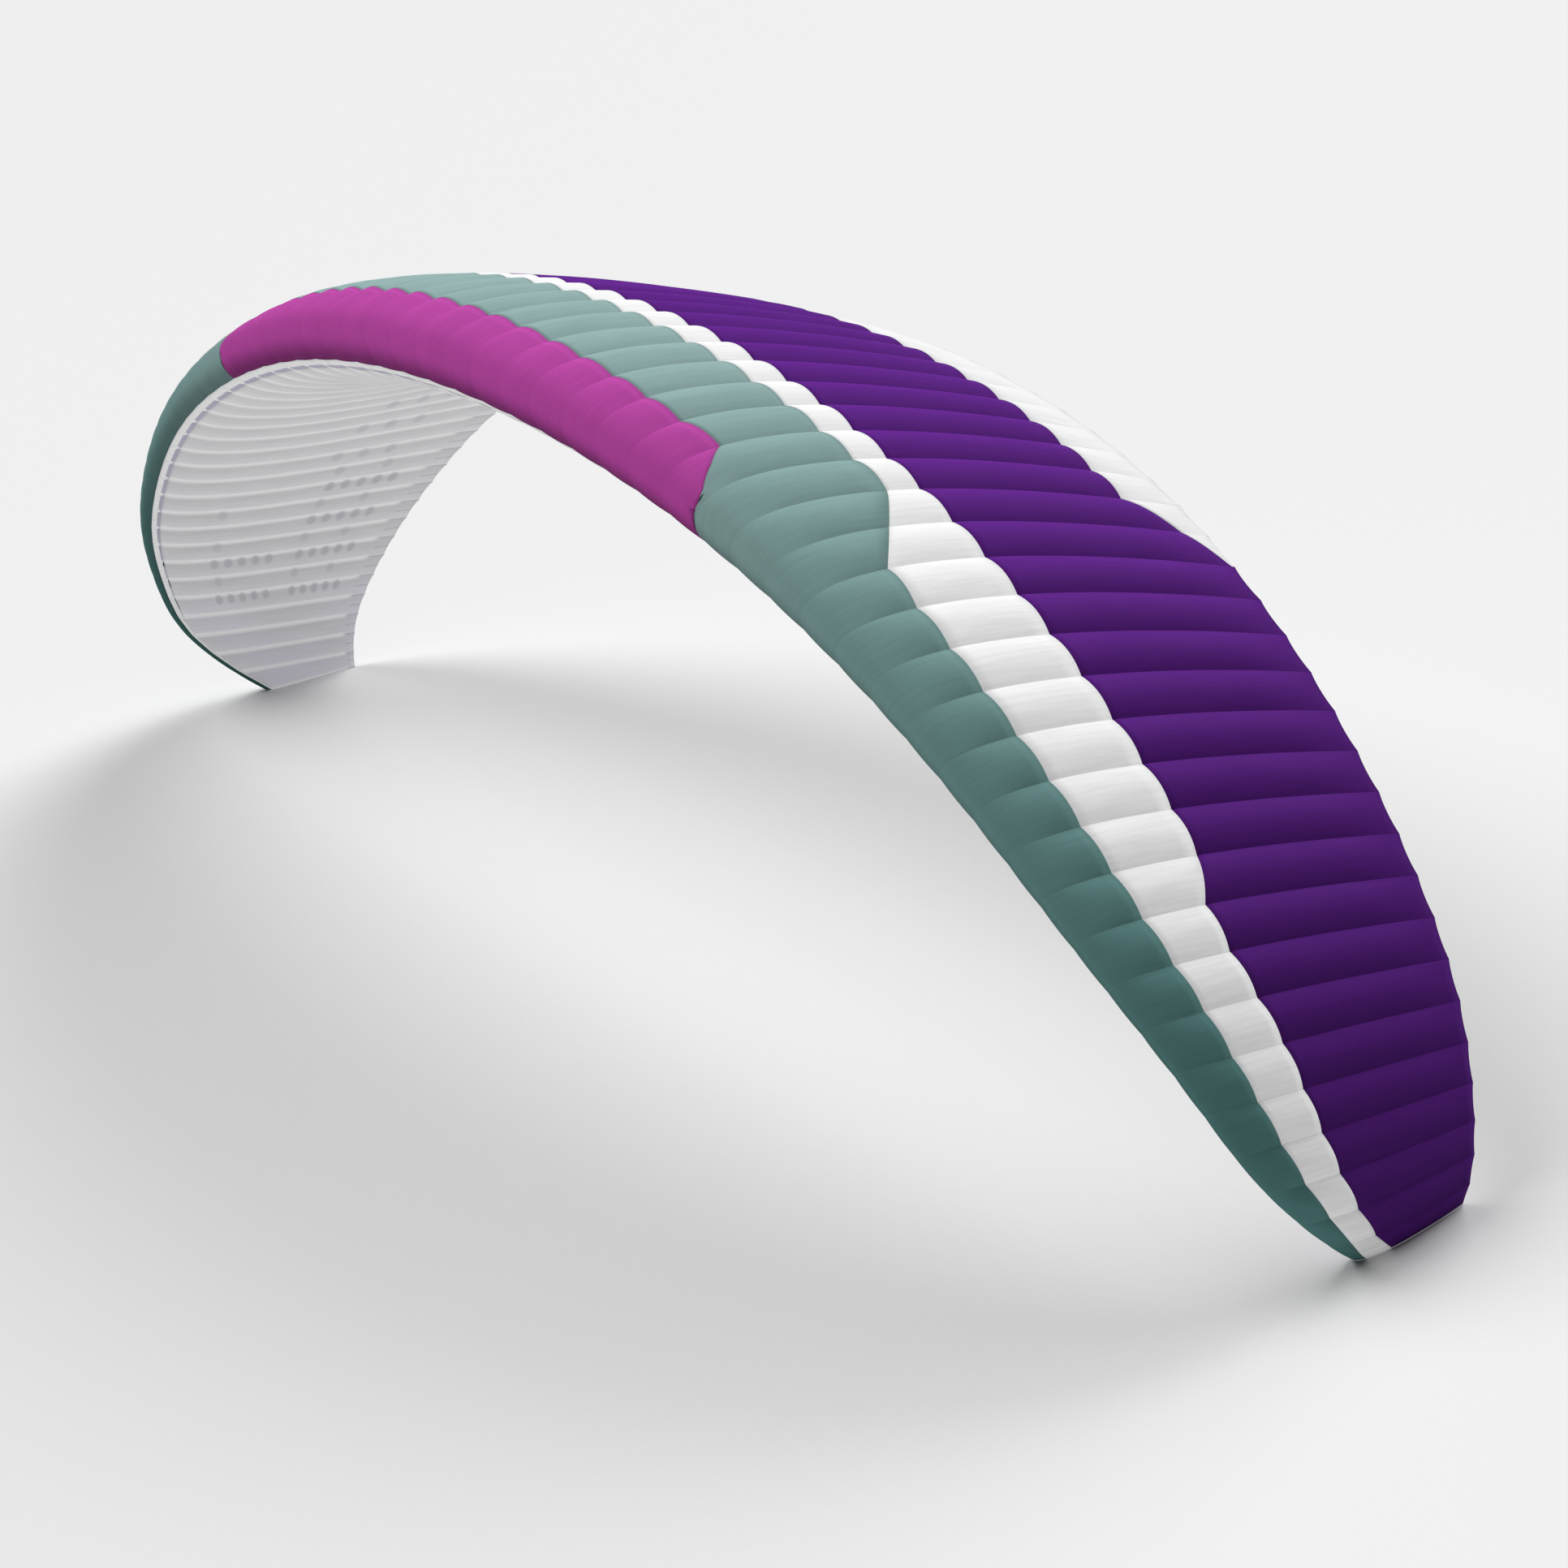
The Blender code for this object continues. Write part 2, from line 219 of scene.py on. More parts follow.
def rib_height(s, share):
    t = np.clip(s * s, 0.0, 1.0)
    rise = TOP_RISE[0] + (TOP_RISE[1] - TOP_RISE[0]) * share ** 2
    drop = BOTTOM_DROP[0] + (BOTTOM_DROP[1] - BOTTOM_DROP[0]) * share ** 2
    # The top is a classic airfoil; the underside is a curve of two powers.
    body = 0.2969 * np.sqrt(t) - 0.1260 * t - 0.3516 * t ** 2 + 0.2843 * t ** 3
    top = rise * (body - 0.1036 * t ** 4) / 0.1
    low = -drop * t ** 0.39 * (1.0 - t) ** 1.3725 / 0.4069
    return np.where(s >= 0.0, top, low)


def stand(points):
    turn = math.radians(STANCE)
    y = points[..., 1] * math.cos(turn) + points[..., 2] * math.sin(turn)
    z = points[..., 2] * math.cos(turn) - points[..., 1] * math.sin(turn)
    return np.stack([points[..., 0], y - MIDDLE_Y, z - FLOOR_Z], -1)


PIVOT = 0.3  # chord share round which a rib turns


def on_rib(share, side, s):
    share, side, s = np.broadcast_arrays(share, side, s)
    lean = np.radians(LEAN.at(share))
    nose = NOSE.at(share)
    chord = REAR.at(share) - nose
    along = (s * s - PIVOT) * chord
    height = rib_height(s, share) * chord
    turn = math.radians(NOSE_UP)
    y = nose + PIVOT * chord + along * math.cos(turn) + height * math.sin(turn)
    out = height * math.cos(turn) - along * math.sin(turn)
    x = np.interp(share, ARCH[0], ARCH[1]) + np.sin(lean) * out
    z = np.interp(share, ARCH[0], ARCH[2]) + np.cos(lean) * out
    return stand(np.stack([side * x, y, z], -1))


def level_share(side, s, height):
    """The share of the half span at which the cloth comes down to a height."""
    low = np.full(np.shape(s), 0.97)
    high = np.full(np.shape(s), 1.03)
    for _ in range(30):
        middle = (low + high) / 2.0
        above = on_rib(middle, side, s)[..., 2] > height
        low = np.where(above, middle, low)
        high = np.where(above, high, middle)
    return (low + high) / 2.0


def rib_line(k, s):
    """Points of the ribs k, one number a column, at the rows s. Tip ribs are level."""
    side = np.where(k < 0, -1.0, 1.0)[:, None] + 0.0 * s
    share = share_of_rib(k)[:, None] + 0.0 * s
    last = np.abs(k) > LAST_RIB - 0.01
    if last.any():
        share[last] = level_share(side[last], s[last], RIB_PLATE + GAP)
    return on_rib(share, side, s)


# %% The bulge between two ribs
TOP_FULL_AT = 0.12  # chord share at which the top bulge is full
LOW_FROM = 0.05  # where the lower bulge starts, behind the air intakes
LOW_OVER = 0.06  # and the share over which it grows
TAIL_FADE = 0.20  # the last part of the chord, where the bulge dies down
TAIL_SHARE = 0.12  # what is left of it there
HEM_FLAT = 0.02


def smooth_step(x):
    x = np.clip(x, 0.0, 1.0)
    return x * x * (3.0 - 2.0 * x)


def bulge_height(s, width):
    """How far the air pushes the cloth out midway between two ribs."""
    t = np.clip(s * s, 0.0, 1.0)
    fade = np.clip((1.0 - t) / TAIL_FADE, 0.0, 1.0)
    top = NOSE_BULGE + (TOP_BULGE - NOSE_BULGE) * smooth_step(t / TOP_FULL_AT)
    low = NOSE_BULGE + (BOTTOM_BULGE - NOSE_BULGE) * smooth_step((t - LOW_FROM) / LOW_OVER)
    share = np.where(s >= 0.0, top, low)
    tail = TAIL_SHARE + (1.0 - TAIL_SHARE) * fade
    return share * width * tail * np.clip((1.0 - t) / HEM_FLAT, 0.0, 1.0)


def cell_of(k):
    """The number of the cell that a column lies in."""
    return np.clip(np.floor(k + 0.5), -LAST_CELL, LAST_CELL)


def unit(vectors):
    return vectors / np.maximum(np.linalg.norm(vectors, axis=-1, keepdims=True), 1e-9)


def cloth_point(k, s):
    """Points of the blown-up cloth for columns k and rows s."""
    cell = cell_of(k)
    share = np.clip(k - (cell - 0.5), 0.0, 1.0)[:, None]
    left = rib_line(cell - 0.5, s)
    right = rib_line(cell + 0.5, s)
    ahead = (rib_line(cell - 0.5, s + 0.01) + rib_line(cell + 0.5, s + 0.01)
             - rib_line(cell - 0.5, s - 0.01) - rib_line(cell + 0.5, s - 0.01))
    across = right - left
    out = unit(np.cross(across, ahead))
    width = np.linalg.norm(across, axis=-1)
    rise = bulge_height(s, width) * 4.0 * share * (1.0 - share)
    return left + across * share[..., None] + out * rise[..., None]


def outward(k, s):
    """Unit normals of the cloth, the mean of both sides on a seam."""
    total = np.zeros(np.shape(s) + (3,))
    for shift in (-0.02, 0.02):
        near = np.clip(k + shift, 0.01 - LAST_RIB, LAST_RIB - 0.01)
        across = cloth_point(near + 0.005, s) - cloth_point(near - 0.005, s)
        ahead = cloth_point(near, s + 0.01) - cloth_point(near, s - 0.01)
        total += unit(np.cross(across, ahead))
    return unit(total)


probe = cloth_point(np.array([0.0, LAST_RIB]), np.array([[0.5], [0.5]]))
print("crown and tip of the cloth:", probe.round(3).tolist())

# %% [markdown]
# ## Panels as closed sheets
# A panel is a grid. Its columns run along the chord and are packed close to each rib,
# so that the fold at the seam stays sharp while the bulge between stays round. An outer
# and an inner grid, 2 mm apart, are joined round the rim into one closed sheet. Each
# panel carries three UV maps. One is the place on the cloth in metres, for the weave.
# One holds the distances to the nearest rib seam and panel edge, for the sewing. The
# last is the rib number and the chord share, for what shows through the cloth.

# %% Places of the columns
CELL_STEPS = (0.015, 0.05, 0.11, 0.19, 0.28, 0.38, 0.46, 0.5,
              0.54, 0.62, 0.72, 0.81, 0.89, 0.95, 0.985)


def columns_between(start, end):
    ribs = np.arange(start, end + 0.01, 1.0)
    inside = np.array((0.0,) + CELL_STEPS)
    return np.append((ribs[:-1, None] + inside[None, :]).ravel(), end)


def seam_at(table, k):
    return np.interp(np.abs(k), [row[0] for row in table], [row[1] for row in table])


print("columns over the whole wing:", len(columns_between(-LAST_RIB, LAST_RIB)))


# %% Lengths along the cloth
TYPICAL_RIB = 0.4  # the rib whose outline is measured, as a share of the half span
OUTLINE_STEPS = 400  # steps from the nose to the tail on each side


def profile_lengths():
    s = np.linspace(-1.0, 1.0, 2 * OUTLINE_STEPS + 1)
    line = on_rib(np.full(len(s), TYPICAL_RIB), 1.0, s)
    step = np.linalg.norm(np.diff(line, axis=0), axis=1)
    run = np.concatenate([[0.0], np.cumsum(step)])
    chord = float(REAR.at(TYPICAL_RIB) - NOSE.at(TYPICAL_RIB))
    return s, (run - run[OUTLINE_STEPS]) / chord


PROFILE = profile_lengths()


def chord_length(k, s):
    """Metres along the cloth from the nose, for columns k and rows s."""
    share = share_of_rib(np.minimum(np.abs(k), LAST_RIB))
    chord = (REAR.at(share) - NOSE.at(share))[:, None]
    return np.interp(s, PROFILE[0], PROFILE[1]) * chord


def span_length(k):
    """Metres along the span from the middle of the wing."""
    return np.sign(k) * share_of_rib(k) * HALF_SPAN


print("top of the middle rib, nose to tail:",
      round(float(chord_length(np.array([0.0]), np.array([[1.0]]))[0, 0]), 3), "m")


# %% Closed sheets
def closed_faces(columns, rows):
    spot = np.arange(2 * columns * rows).reshape(2, columns, rows)
    o, i = spot
    skins = [
        np.stack([o[:-1, :-1], o[1:, :-1], o[1:, 1:], o[:-1, 1:]], -1).reshape(-1, 4),
        np.stack([i[:-1, :-1], i[:-1, 1:], i[1:, 1:], i[1:, :-1]], -1).reshape(-1, 4),
        np.stack([o[:-1, 0], i[:-1, 0], i[1:, 0], o[1:, 0]], -1),
        np.stack([o[:-1, -1], o[1:, -1], i[1:, -1], i[:-1, -1]], -1),
        np.stack([o[0, :-1], o[0, 1:], i[0, 1:], i[0, :-1]], -1),
        np.stack([o[-1, :-1], i[-1, :-1], i[-1, 1:], o[-1, 1:]], -1),
    ]
    return np.concatenate(skins)


def new_object(name, points, faces, material, smooth=True):
    mesh = bpy.data.meshes.new(name)
    mesh.from_pydata(np.asarray(points).tolist(), [], faces)
    mesh.update()
    mesh.polygons.foreach_set("use_smooth", [smooth] * len(mesh.polygons))
    mesh.materials.append(material)
    return place_in_scene(name, mesh)


MAPS = ("cloth_metres", "seam_metres", "rib_place")


def add_uv(mesh, name, values):
    layer = mesh.uv_layers.new(name=name)
    corners = np.zeros(len(mesh.loops), int)
    mesh.loops.foreach_get("vertex_index", corners)
    layer.data.foreach_set("uv", values[corners].ravel())


def plain_maps(mesh, place):
    """The three maps of a piece that has no seams and no marks of its own."""
    far, mark_free = np.full((len(place), 2), 0.5), np.full((len(place), 2), 0.3)
    for label, values in zip(MAPS, (place, far, mark_free)):
        add_uv(mesh, label, values)


# %% Panels
MIDDLE_NUMBER = 30.0  # added to k in rib_place, so that it is never negative
GRIDS = {}  # outer points and normals of each panel, for its stitches


def panel(name, last_rib, edges, rows, material):
    """A closed sheet as far as last_rib on each side. edges(k) is the first and last s."""
    k = columns_between(-last_rib, last_rib)
    first, last = (np.broadcast_to(edge, k.shape) for edge in edges(k))
    part = np.linspace(0.0, 1.0, rows + 1)
    s = first[:, None] + (last - first)[:, None] * part[None, :]
    middle = cloth_point(k, s)
    normal = outward(k, s)
    outer = middle + normal * (CLOTH + GAP / 2.0)
    inner = middle + normal * (GAP / 2.0)
    tips = np.abs(k) > LAST_RIB - 0.01
    outer[tips, :, 2] = inner[tips, :, 2] = RIB_PLATE + GAP
    points = np.concatenate([outer.reshape(-1, 3), inner.reshape(-1, 3)])
    item = new_object(name, points, closed_faces(len(k), rows + 1).tolist(), material)
    GRIDS[name] = (outer, normal)
    away = chord_length(k, s)
    place = np.stack(np.broadcast_arrays(span_length(k)[:, None], away), -1)
    cell = cell_of(k)
    share = k - (cell - 0.5)
    wide = span_length(cell + 0.5) - span_length(cell - 0.5)
    to_rib = np.minimum(share, 1.0 - share) * wide
    to_edge = np.minimum(away - away[:, :1], away[:, -1:] - away)
    seams = np.stack(np.broadcast_arrays(to_rib[:, None], to_edge), -1)
    ribs = np.stack(np.broadcast_arrays(k[:, None] + MIDDLE_NUMBER, s * s), -1)
    for label, values in zip(MAPS, (place, seams, ribs)):
        add_uv(item.data, label, np.tile(values.reshape(-1, 2), (2, 1)))
    return item, flat_cut(name, outer)


def flat_cut(name, grid):
    """Length and width of the cut, and its area, all along the cloth, in metres."""
    along = np.linalg.norm(np.diff(grid, axis=0), axis=-1).sum(0)
    wide = np.linalg.norm(np.diff(grid, axis=1), axis=-1).sum(1)
    length = math.ceil(along.max() * 100.0) / 100.0
    width = math.ceil(wide.max() * 1000.0) / 1000.0
    area = sheet_area(grid)
    print(f"{name}: {grid.shape[0]} by {grid.shape[1]} points, "
          f"cut {length:.2f} x {width:.3f} m, {area:.2f} m2")
    return (length, width), area


def sheet_area(grid):
    a = grid[1:, :-1] - grid[:-1, :-1]
    b = grid[:-1, 1:] - grid[:-1, :-1]
    c = grid[1:, 1:] - grid[1:, :-1]
    d = grid[1:, 1:] - grid[:-1, 1:]
    half = np.linalg.norm(np.cross(a, b), axis=-1) + np.linalg.norm(np.cross(c, d), axis=-1)
    return float(half.sum() / 2.0)


# %% [markdown]
# ## Shared finishes as node groups
# All panels are the same light nylon in different colours, so the effects are built once
# as shader node groups. The weave group draws the fine squares of ripstop cloth. The seam
# group reads the distance maps and gives the fold line with its painted shade, two rows of
# stitches in relief, the puckers that thread pulls into thin cloth, and the painted shade
# on the underside of the nose. The tone group shifts each cell a little, gives the painted
# shade that darkens the cloth towards both wing tips, and draws the fine creases of taut
# cloth, with their painted shade.


# %% Node helpers
def wire(tree, source, target):
    tree.links.new(source, target)


def node(tree, kind, inputs=None, **settings):
    """A new node. Its inputs are plain values or outputs of other nodes."""
    item = tree.nodes.new(kind)
    for key, value in settings.items():
        setattr(item, key, value)
    for label, value in (inputs or {}).items():
        if isinstance(value, bpy.types.NodeSocket):
            wire(tree, value, item.inputs[label])
        else:
            item.inputs[label].default_value = value
    return item


def maths(tree, operation, *values, clamp=False):
    return node(tree, "ShaderNodeMath", dict(enumerate(values)),
                operation=operation, use_clamp=clamp).outputs[0]


def times(tree, a, b):
    return maths(tree, "MULTIPLY", a, b)


def split_pair(tree, vector):
    """The first two numbers of a vector."""
    item = node(tree, "ShaderNodeSeparateXYZ", {0: vector})
    return item.outputs["X"], item.outputs["Y"]


def noise(tree, vector, scale, detail=2.0):
    return node(tree, "ShaderNodeTexNoise",
                {"Vector": vector, "Scale": scale, "Detail": detail}).outputs["Fac"]


def drawn_noise(tree, x, y, x_scale, y_scale, detail):
    """Noise that is drawn out along one of two directions."""
    place = node(tree, "ShaderNodeCombineXYZ",
                 {"X": times(tree, x, x_scale), "Y": times(tree, y, y_scale)})
    return noise(tree, place.outputs[0], 1.0, detail)


def falloff(tree, value, near, far):
    """1 below near, 0 above far, smooth between."""
    return node(tree, "ShaderNodeMapRange",
                {"Value": value, "From Min": near, "From Max": far,
                 "To Min": 1.0, "To Max": 0.0},
                interpolation_type="SMOOTHSTEP").outputs["Result"]


FLOAT = "NodeSocketFloat"
VECTOR = "NodeSocketVector"


def new_group(name, ins, outs):
    """A group whose outputs are numbers. An input without a value is a vector."""
    group = bpy.data.node_groups.new(name, "ShaderNodeTree")
    for label, value in ins.items():
        kind = VECTOR if value is None else FLOAT
        socket = group.interface.new_socket(label, in_out="INPUT", socket_type=kind)
        if value is not None:
            socket.default_value = value
    for label in outs:
        group.interface.new_socket(label, in_out="OUTPUT", socket_type=FLOAT)
    ends = node(group, "NodeGroupInput").outputs, node(group, "NodeGroupOutput").inputs
    return (group, *ends)


def give(group, outs, **results):
    """Wire the results of a group to its outputs."""
    for label, value in results.items():
        wire(group, value, outs[label])
    return group


# %% Ripstop weave
FIBRE_SCALE = 900.0
FIBRE_RISE = 0.35  # height of the loose fibres over that of a raised thread


def weave_group():
    group, ins, outs = new_group(
        "ripstop_weave", {"Place": None, "Square": 0.0055, "Thread": 0.0005},
        ("Height", "Threads"))
    lines = []
    for across in split_pair(group, ins["Place"]):
        half = times(group, ins["Square"], 0.5)
        near = maths(group, "PINGPONG", across, half)
        away = maths(group, "DIVIDE", near, ins["Thread"])
        lines.append(maths(group, "SUBTRACT", 1.0, away, clamp=True))
    both = maths(group, "MAXIMUM", *lines)
    fibres = noise(group, ins["Place"], FIBRE_SCALE, 1.0)
    rough = times(group, fibres, FIBRE_RISE)
    return give(group, outs, Height=maths(group, "ADD", both, rough), Threads=both)


WEAVE = weave_group()
print("group:", WEAVE.name, [s.name for s in WEAVE.interface.items_tree])


# %% Seams, stitches and puckers
# All of these are metres, but for the two shares of the height.
ROWS_AT = (0.004, 0.008)  # two rows of stitches beside a rib seam
ROW_HALF_WIDTH = 0.0005
ROW_PITCH = 0.006
FOLD_FROM = 0.0005
FOLD_TO = (0.004, 0.003)  # at a rib seam and at an edge
# reach of the painted shade on the underside of the nose, from a panel edge
NOSE_SHADE_REACH = 0.13
RIB_PUCKERS = (0.06, 0.022)  # reach and wave
EDGE_PUCKERS = (0.035, 0.018)
FOLD_RISE = -0.3
ROW_RISE = 0.12


def stitch_row(group, across, along, at):
    """A dashed line at a distance from a seam."""
    off = maths(group, "ABSOLUTE", maths(group, "SUBTRACT", across, at))
    line = falloff(group, off, ROW_HALF_WIDTH * 0.6, ROW_HALF_WIDTH * 1.4)
    dash = maths(group, "PINGPONG", along, ROW_PITCH / 2.0)
    gaps = falloff(group, dash, ROW_PITCH * 0.3, ROW_PITCH * 0.4)
    return times(group, line, gaps)


def pucker(group, across, along, reach, wave):
    """Small folds that stand square to the seam and die out away from it."""
    folds = drawn_noise(group, across, along, 6.0, 1.0 / wave, 2.0)
    return times(group, folds, falloff(group, across, 0.002, reach))


def seam_group():
    group, ins, outs = new_group(
        "sewn_seams", {"Place": None, "Seams": None}, ("Fold", "Lip", "Height"))
    span, chord = split_pair(group, ins["Place"])
    rib, edge = split_pair(group, ins["Seams"])
    fold = maths(group, "MAXIMUM", falloff(group, rib, FOLD_FROM, FOLD_TO[0]),
                 falloff(group, edge, FOLD_FROM, FOLD_TO[1]))
    rows = maths(group, "MAXIMUM", *[stitch_row(group, rib, chord, at) for at in ROWS_AT])
    # Painted shade on the underside of the nose, near the edges of a panel.
    nose_shade = times(group, falloff(group, edge, 0.0, NOSE_SHADE_REACH),
                maths(group, "LESS_THAN", chord, 0.0))
    folds = maths(group, "ADD", pucker(group, rib, chord, *RIB_PUCKERS),
                  pucker(group, edge, span, *EDGE_PUCKERS))
    sunk = maths(group, "ADD", folds, times(group, fold, FOLD_RISE))
    height = maths(group, "ADD", sunk, times(group, rows, ROW_RISE))
    return give(group, outs, Fold=fold, Lip=nose_shade, Height=height)


SEAMS = seam_group()
print("group:", SEAMS.name)


# %% Tone of each cell
CELL_WIDTH = 0.24
TIP_SHADE_REACH = (0.9, 5.6)  # metres from the middle over which painted shade darkens the colour towards the tips
CLOUD_SCALE = 3.0
CREASE_SCALES = (62.0, 4.0)  # along the span and along the chord


def tone_group():
    group, ins, outs = new_group(
        "cloth_tone", {"Place": None, "Seed": 0.0}, ("Cell", "Clouds", "Tips", "Streaks"))
    span, chord = split_pair(group, ins["Place"])
    strip = maths(group, "FLOOR", maths(group, "DIVIDE", span, CELL_WIDTH))
    dice = node(group, "ShaderNodeTexWhiteNoise",
                {"W": maths(group, "ADD", strip, ins["Seed"])}, noise_dimensions="1D")
    # Painted shade: 0 at the crown, rising to 1 towards both wing tips.
    tips = falloff(group, maths(group, "ABSOLUTE", span), *TIP_SHADE_REACH[::-1])
    return give(group, outs, Cell=dice.outputs["Value"], Tips=tips,
                Clouds=noise(group, ins["Place"], CLOUD_SCALE, 4.0),
                Streaks=drawn_noise(group, span, chord, *CREASE_SCALES, 3.0))


TONE = tone_group()
print("group:", TONE.name)

# %% [markdown]
# ## What shows through the underside
# Light shines through the thin cloth, so the underside shows what is behind it. A pale
# line runs along every rib seam, where the cloth lies double. Darker round spots are the
# holes in the ribs. Near the trailing edge half ribs draw fine dark lines between the
# ribs, and the hem is a pale line. The marks repeat cell by cell, so they are worked out
# from the rib number and the chord share.


# %% Marks seen through the cloth
def repeated(group, value, start, step):
    """Distance to the nearest of start, start + step, and so on."""
    away = maths(group, "SUBTRACT", value, start)
    return maths(group, "WRAP", away, step / 2.0, -step / 2.0)


def between(group, value, low, high):
    above = maths(group, "GREATER_THAN", value, low)
    return times(group, above, maths(group, "LESS_THAN", value, high))


HOLE_WIDE = 0.24  # half width of a hole, in cells
HOLE_LONG = 0.0185  # half length of a hole, as a chord share


def hole_spots(group, k, t, ribs, shares, weight):
    """Soft ovals on a grid of ribs and chord shares, each (first, last, step)."""
    squares, inside = 0.0, 1.0
    for value, (first, last, step), half in ((k, ribs, HOLE_WIDE), (t, shares, HOLE_LONG)):
        away = maths(group, "DIVIDE", repeated(group, value, first, step), half)
        squares = maths(group, "MULTIPLY_ADD", away, away, squares)
        here = between(group, value, first - step / 2.0, last + step / 2.0)
        inside = times(group, inside, here)
    spot = falloff(group, maths(group, "SQRT", squares), 0.55, 1.25)
    return times(group, inside, times(group, spot, weight))


HOLES = (
    # ribs, chord shares, weight
    ((18.75, 24.75, 2.0), (0.600, 0.820, 0.055), 1.0),
    ((22.75, 24.75, 2.0), (0.250, 0.473, 0.0558), 1.0),
    ((17.75, 23.75, 2.0), (0.600, 0.760, 0.160), 0.6),
    ((19.75, 23.75, 2.0), (0.260, 0.260, 0.050), 0.6),
    ((12.75, 16.75, 2.0), (0.555, 0.725, 0.085), 0.6),
)
HALF_RIBS_FROM = 0.93  # chord share
HALF_RIBS_DARK = 0.9


def marks_group():
    group, ins, outs = new_group(
        "seen_through", {"Ribs": None}, ("Pale", "Dark", "Tips", "Inner"))
    number, t = split_pair(group, ins["Ribs"])
    k = maths(group, "ABSOLUTE", maths(group, "SUBTRACT", number, MIDDLE_NUMBER))
    half = falloff(group, maths(group, "PINGPONG", number, 0.25), 0.015, 0.05)
    half = times(group, half, maths(group, "GREATER_THAN", t, HALF_RIBS_FROM))
    dark = times(group, half, HALF_RIBS_DARK)
    for holes in HOLES:
        dark = maths(group, "MAXIMUM", dark, hole_spots(group, k, t, *holes))
    to_rib = maths(group, "SUBTRACT", 0.5, maths(group, "PINGPONG", number, 0.5))
    seam = falloff(group, to_rib, 0.02, 0.19)
    seam = times(group, seam, falloff(group, t, 0.90, 0.95))
    hem = falloff(group, maths(group, "SUBTRACT", 1.0, t), 0.004, 0.009)
    # Inner falls from 1 at the inner rib of a cell to 0 at the outer one; it carries painted
    # light and shade across each cell.
    outer = maths(group, "FRACT", maths(group, "ADD", k, 0.5))
    return give(group, outs, Dark=dark, Tips=falloff(group, k, 29.0, 22.0),
                Pale=maths(group, "MAXIMUM", seam, hem),
                Inner=maths(group, "SUBTRACT", 1.0, outer))


MARKS = marks_group()
print("group:", MARKS.name, "with", len(HOLES), "sets of holes")

# %% [markdown]
# ## The cloth materials
# Light nylon has a soft gloss from its coating. Painted shade makes its colour deeper in the
# folds, along the fine creases, on the underside of the nose and towards both wing tips.
# It is lighter where the weave threads stand up, and uneven over a metre or so. All of that
# is mixed into the base colour, and the weave and puckers go into the bump, so the shader
# itself stays a plain Principled one.


# %% Cloth materials
def mix_colour(tree, factor, a, b):
    item = node(tree, "ShaderNodeMix", {"Factor": factor}, data_type="RGBA")
    colours = [s for s in item.inputs if s.type == "RGBA"]
    for socket, value in zip(colours, (a, b)):
        if isinstance(value, tuple):
            socket.default_value = (*value, 1.0)
        else:
            wire(tree, value, socket)
    return [s for s in item.outputs if s.type == "RGBA"][0]


def shade(colour, factor):
    return tuple(max(0.0, min(1.0, c * factor)) for c in colour)


def scaled(tree, colour, mask, slope, start):
    """The colour times start + slope * mask."""
    scale = maths(tree, "MULTIPLY_ADD", mask, slope, start)
    return node(tree, "ShaderNodeVectorMath", {0: colour, "Scale": scale},
                operation="SCALE").outputs[0]


def relief(tree, height, strength, distance):
    return node(tree, "ShaderNodeBump",
                {"Height": height, "Strength": strength, "Distance": distance})


def place_group(tree, group, **maps):
    """Put a group into a material, with a UV map on each input that is named."""
    item = node(tree, "ShaderNodeGroup", node_tree=group)
    for label, uv_map in maps.items():
        wire(tree, node(tree, "ShaderNodeUVMap", uv_map=uv_map).outputs[0], item.inputs[label])
    return item


def new_material(name, specular):
    material = bpy.data.materials.new(name)
    material.use_nodes = True
    tree = material.node_tree
    shader = tree.nodes["Principled BSDF"]
    shader.inputs["Specular IOR Level"].default_value = specular
    return material, tree, shader


# %% The cloth
GLOSS = 0.004  # specular level
CELL_TONE = 0.015  # how much lighter or darker one cell can be
CLOUDS = (0.15, 0.85)  # share of the cloudy tone, and its shade
CREASE_SHADE = (0.24, 0.88)  # slope and start of the painted shade along the creases
CREASE_RISE = 0.8
THREADS = 0.10
FOLD_SHADE = (0.18, 0.6)  # share of the painted shade in the folds, and how dark it is
UNEVEN_GLOSS = 0.14
PULL = (0.25, 0.002)  # strength and depth of creases and seams
GRAIN = (0.25, 0.0002)  # and of the weave


